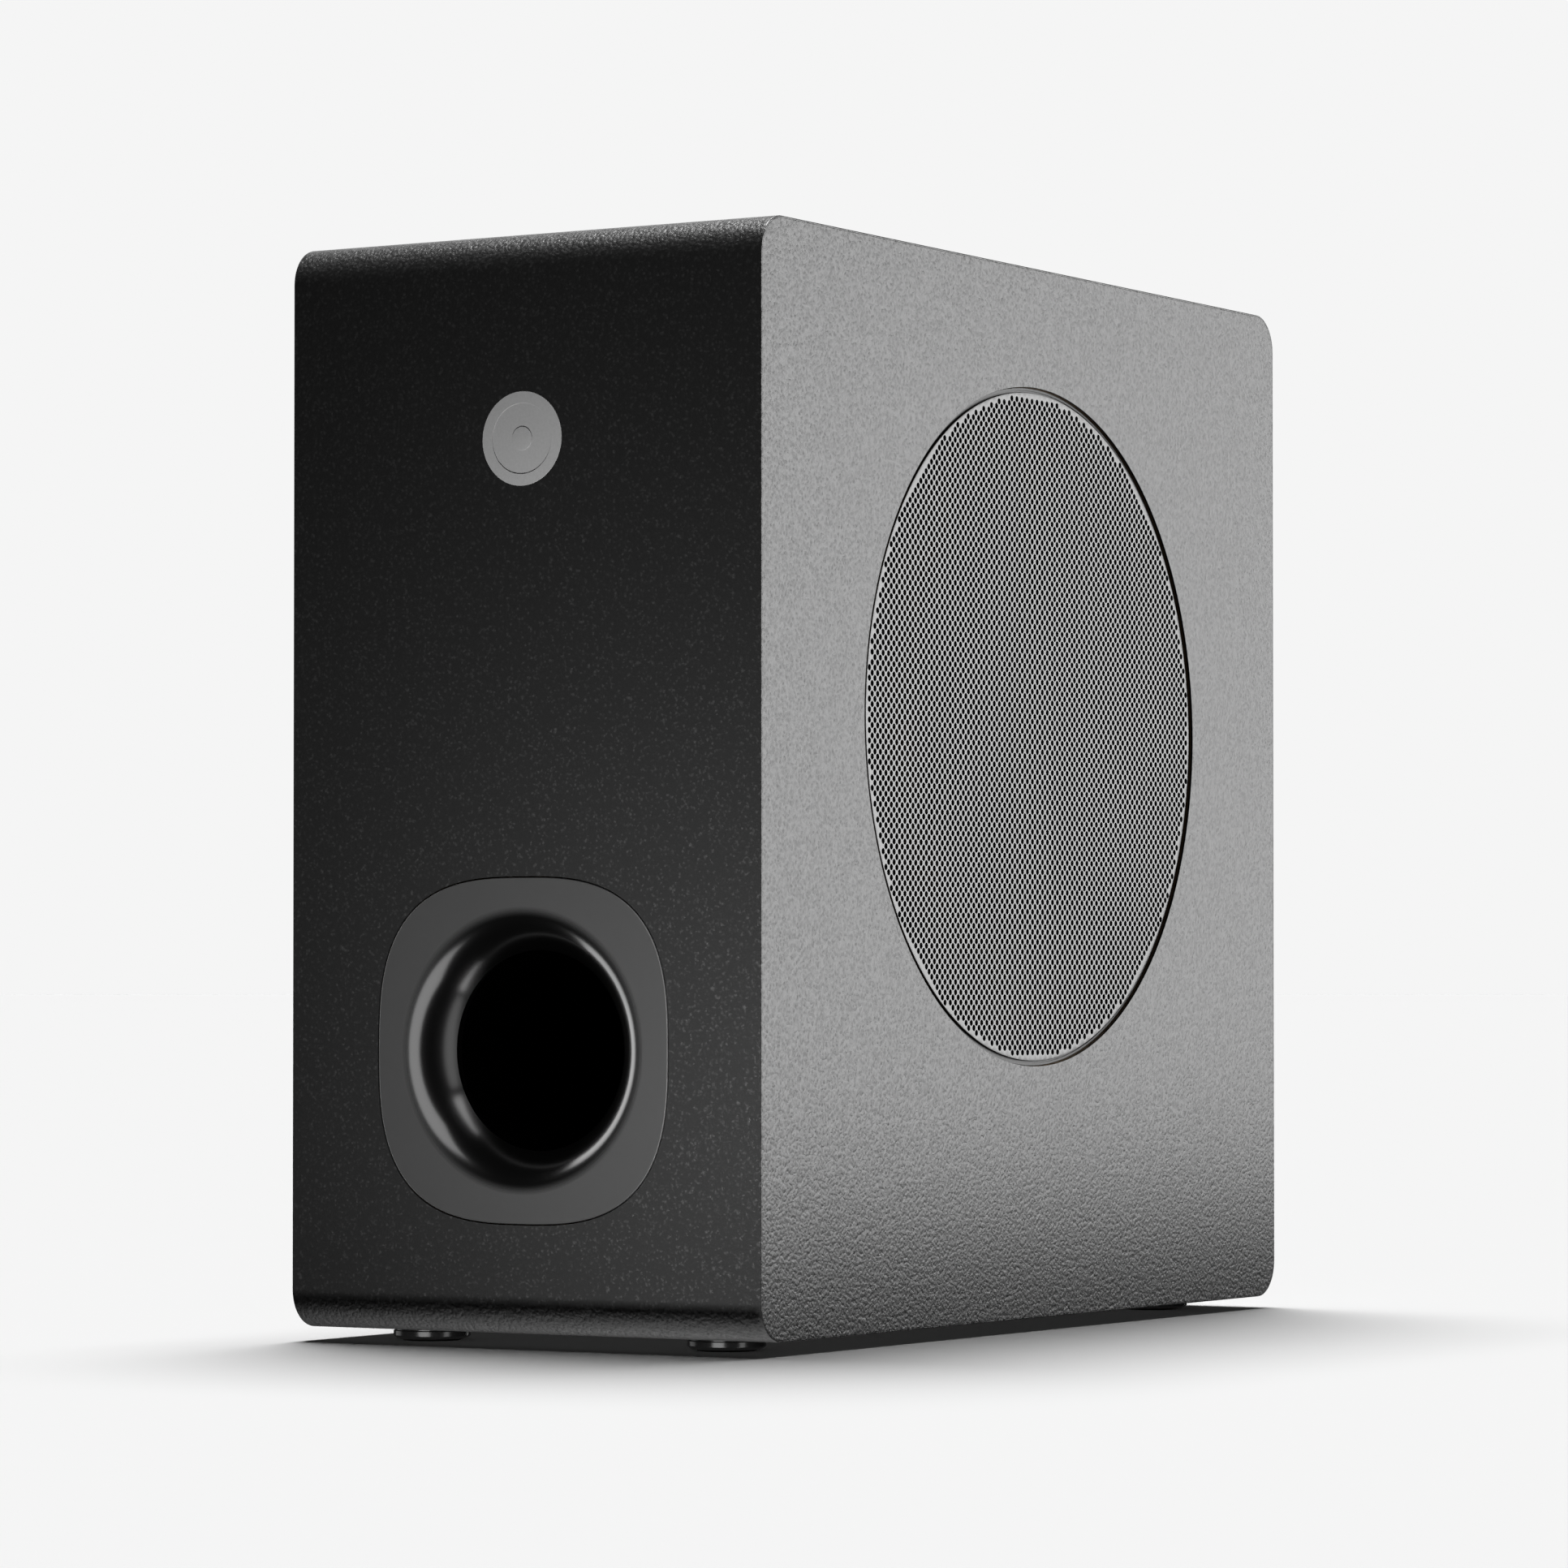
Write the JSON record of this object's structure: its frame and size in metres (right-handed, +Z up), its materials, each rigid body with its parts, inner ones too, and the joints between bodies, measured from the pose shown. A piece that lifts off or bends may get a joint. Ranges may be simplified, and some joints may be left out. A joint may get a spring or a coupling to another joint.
{
  "type": "soundbar subwoofer",
  "caption": "Narrow vinyl-wrapped bass cabinet of a soundbar set, with a side-firing woofer behind a round grille, a front port, round feet and a rear amplifier plate.",
  "frame": {"origin": "centre of the cabinet's footprint, on the surface it stands on", "axes": "+X towards the grille side, -Y towards the front with the port, +Z up"},
  "size_m": [0.142, 0.282, 0.2835],
  "materials": {
    "vinyl": "leather-grain vinyl film",
    "fibreboard": "bare medium density fibreboard",
    "pine": "planed pine",
    "grille_steel": "powder-coated perforated sheet",
    "black_plastic": "fine moulded texture",
    "badge_metal": "matt printed grey",
    "satin_plastic": "satin face, glossy flare",
    "foam": "closed-cell foam",
    "foot_plastic": "glossy",
    "foot_rubber": "matt",
    "screw_steel": "zinc plated",
    "black_screw": "black zinc",
    "basket_steel": "black paint",
    "surround_rubber": "satin moulded rubber",
    "cone_paper": "pressed pulp with a coating",
    "cap_paper": "pressed pulp with a coating",
    "former_film": "amber film",
    "copper": "enamelled copper",
    "spider_cloth": "resin-treated cotton weave",
    "motor_steel": "zinc plated",
    "ferrite": "sintered",
    "phenolic": "paper laminate",
    "tag_brass": "tinned brass",
    "black_aluminium": "black fine-texture paint",
    "inlet_plastic": "moulded",
    "pin_metal": "nickel plated",
    "button_plastic": "satin",
    "circuit_board": "solder resist",
    "led_lens": "clear",
    "bare_aluminium": "extruded",
    "capacitor_sleeve": "shrunk sleeve",
    "shield_metal": "tinned",
    "wire_jacket": "soft jacket",
    "polyester": "lofted fibre"
  },
  "bodies": {
    "cabinet": {"vinyl_wrap": "vinyl", "vinyl_left": "vinyl", "vinyl_right": "vinyl", "front_board": "fibreboard", "top_board": "fibreboard", "rear_board": "fibreboard", "bottom_board": "fibreboard", "left_side_board": "fibreboard", "right_side_board": "fibreboard", "driver_baffle": "fibreboard", "corner_battens": "pine", "grille_mesh": "grille_steel", "grille_frame": "black_plastic", "front_badge": "badge_metal", "port_bezel": "satin_plastic", "port_gasket": "foam", "port_tube": "black_plastic", "port_flare": "black_plastic", "foot_front_left": "foot_plastic", "foot_front_right": "foot_plastic", "foot_rear_left": "foot_plastic", "foot_rear_right": "foot_plastic", "foot_pads": "foot_rubber", "foot_screws": "screw_steel", "driver_gasket": "foam", "driver_basket": "basket_steel", "driver_screws": "black_screw", "surround": "surround_rubber", "spider": "spider_cloth", "top_plate": "motor_steel", "ferrite_magnet": "ferrite", "pole_yoke": "motor_steel", "terminal_strip": "phenolic", "terminal_tags": "tag_brass", "tinsel_leads": "copper", "amp_gasket": "foam", "amp_plate": "black_aluminium", "amp_plate_screws": "black_screw", "mains_inlet": "inlet_plastic", "inlet_pins": "pin_metal", "control_board": "circuit_board", "tact_switch": "black_plastic", "status_led": "led_lens", "standoffs": "screw_steel", "amp_board": "circuit_board", "heat_sink": "bare_aluminium", "amp_chip": "black_plastic", "transformer": "ferrite", "capacitors": "capacitor_sleeve", "inductors": "copper", "wireless_module": "shield_metal", "mains_wires": "wire_jacket", "speaker_wires": "wire_jacket", "wadding": "polyester"},
    "cone_assembly": {"cone": "cone_paper", "dust_cap": "cap_paper", "voice_coil_former": "former_film", "voice_coil": "copper"},
    "pair_button": {"pair_button": "button_plastic"}
  },
  "joints": [
    {"name": "cone_travel", "type": "slide", "parent": "cabinet", "child": "cone_assembly", "axis": [1, 0, 0], "range_m": [-0.005, 0.005], "stiffness_N_per_m": 1200, "deforming": ["surround", "spider", "tinsel_leads"]},
    {"name": "button_press", "type": "slide", "parent": "cabinet", "child": "pair_button", "axis": [0, -1, 0], "range_m": [0, 0.0008], "stiffness_N_per_m": 400}
  ]
}
